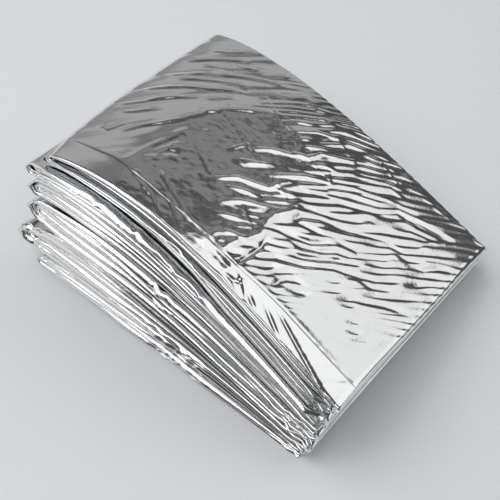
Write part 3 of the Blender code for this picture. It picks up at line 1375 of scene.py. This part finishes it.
        # The wrinkles fade out as the film turns down.
        quarter = math.pi / 2
        inner = np.cos(np.minimum(np.abs(at), quarter)) * np.cos(np.minimum(np.abs(bt), quarter))
        x, y = along * LENGTH / MM, across * DEPTH / MM
        rise = (self.form(x, y) + self.wrinkles(x, y) * inner) * MM
        height = self.packet.height(along, across) - drop + rise
        sheet = FilmSheet("top_film", self.material).lay(self.packet.place(along, across, height))
        for folds in TOP_FOLDS:
            log.info("top_film: %d %s", len(folds.courses), folds.name)
        return sheet


@dataclass(frozen=True)
class Softbox:
    """A soft light that faces the packet.

    azimuth is in degrees from +Y towards +X and elevation in degrees above the floor. Its
    width and height are in metres and its power in watts.
    """

    name: str
    azimuth: float
    elevation: float
    width: float
    height: float
    power: float


# The film shows these as its light patches, and the dim room between them as its dark ones.
SOFTBOXES = (
    Softbox("key", 35, 47, 1.02, 1.05, 3.0),
    Softbox("front", 240, 57, 1.4, 1.1, 10.5),
    Softbox("front_low", 238, 15, 1.6, 0.5, 1.9),
    Softbox("key_core", 35, 53, 0.80, 0.70, 0.26),
    Softbox("front_strip", 150, 52, 0.92, 0.42, 2.2),
    Softbox("front_strip_low", 156, 27, 0.80, 0.09, 0.25),
    Softbox("side", 64, 4, 1.0, 0.2, 0.76),
    Softbox("back_low", -42, 6, 1.56, 0.26, 0.28),
    Softbox("back_middle", -42, 18.5, 1.56, 0.27, 0.47),
    Softbox("back_fill", -58, 31, 0.75, 0.21, 0.055),
    Softbox("middle", -20, 33, 0.65, 0.21, 0.075),
    Softbox("back_high", -30, 56, 0.78, 0.26, 0.44),
)


@dataclass(frozen=True)
class Studio:
    """The pale floor, the soft lights in a dim room, and the camera."""

    # The place that all the lights face, and their distance from it.
    target: Vector = field(default_factory=lambda: Vector((0.0, 0.0, 0.03)))
    light_distance: float = 1.2
    floor_half: float = 3.0
    room_grey: float = 0.08
    # The camera's place, its right-hand and forward directions, and its lens and sensor in
    # millimetres.
    camera_at: tuple[float, float, float] = (0.142363, -0.226953, 0.320431)
    camera_right: tuple[float, float, float] = (0.79288734, 0.60490759, 0.07359672)
    camera_ahead: tuple[float, float, float] = (-0.34842032, 0.54911859, -0.75965259)
    lens: float = 79.2
    sensor: float = 36.0
    clip_start: float = 0.01
    clip_end: float = 20.0

    def add(self, name: str, data: bpy.types.ID) -> bpy.types.Object:
        """Add an object to the scene.

        Args:
            name: Its name.
            data: Its mesh, light or camera.

        Returns:
            The object.
        """
        added = bpy.data.objects.new(name, data)
        bpy.context.scene.collection.objects.link(added)
        return added

    def floor(self) -> None:
        """Add the floor."""
        bm = bmesh.new()
        bmesh.ops.create_grid(bm, x_segments=1, y_segments=1, size=self.floor_half)
        mesh = bpy.data.meshes.new("floor")
        bm.to_mesh(mesh)
        bm.free()
        floor = self.add("floor", mesh)
        floor.data.materials.append(Material(PAPER).made)

    def light(self, box: Softbox) -> None:
        """Add a light that faces the packet.

        Args:
            box: The light.
        """
        data = bpy.data.lights.new(box.name, "AREA")
        data.shape = "RECTANGLE"
        data.size, data.size_y = box.width, box.height
        data.energy = box.power
        light = self.add(box.name, data)
        a, e = math.radians(box.azimuth), math.radians(box.elevation)
        back = Vector((math.sin(a) * math.cos(e), math.cos(a) * math.cos(e), math.sin(e)))
        light.location = self.target + back * self.light_distance
        light.rotation_mode = "QUATERNION"
        light.rotation_quaternion = back.to_track_quat("Z", "Y")

    def room(self) -> None:
        """Make the room round the lights a dim grey."""
        world = bpy.data.worlds.new("studio")
        bpy.context.scene.world = world
        world.use_nodes = True
        grey = (self.room_grey, self.room_grey, self.room_grey, 1.0)
        world.node_tree.nodes["Background"].inputs["Color"].default_value = grey
        bpy.context.scene.view_settings.view_transform = "Standard"

    def camera(self) -> None:
        """Add the camera."""
        data = bpy.data.cameras.new("camera")
        data.lens, data.sensor_width = self.lens, self.sensor
        data.clip_start, data.clip_end = self.clip_start, self.clip_end
        camera = self.add("camera", data)
        right, ahead = Vector(self.camera_right), Vector(self.camera_ahead)
        turned = Matrix((right, right.cross(ahead), -ahead)).transposed().to_4x4()
        camera.matrix_world = Matrix.Translation(self.camera_at) @ turned
        bpy.context.scene.camera = camera

    def build(self) -> None:
        """Build the whole studio."""
        self.floor()
        for box in SOFTBOXES:
            self.light(box)
        self.room()
        self.camera()
        log.info("studio: floor, %d softboxes and camera", len(SOFTBOXES))


def main() -> None:
    """Build the blanket and its studio."""
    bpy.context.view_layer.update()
    film, packet = Material(FILM).made, Packet()
    PleatedFilm(packet, film, "lower_pleats", UPPER_PASSES, PASSES - 1, "floor").build()
    PleatedFilm(packet, film, "upper_pleats", 0, UPPER_PASSES - 1, "lower_pleats").build()
    TopFilm(packet, film).build()
    Studio().build()


if __name__ == "__main__":
    main()
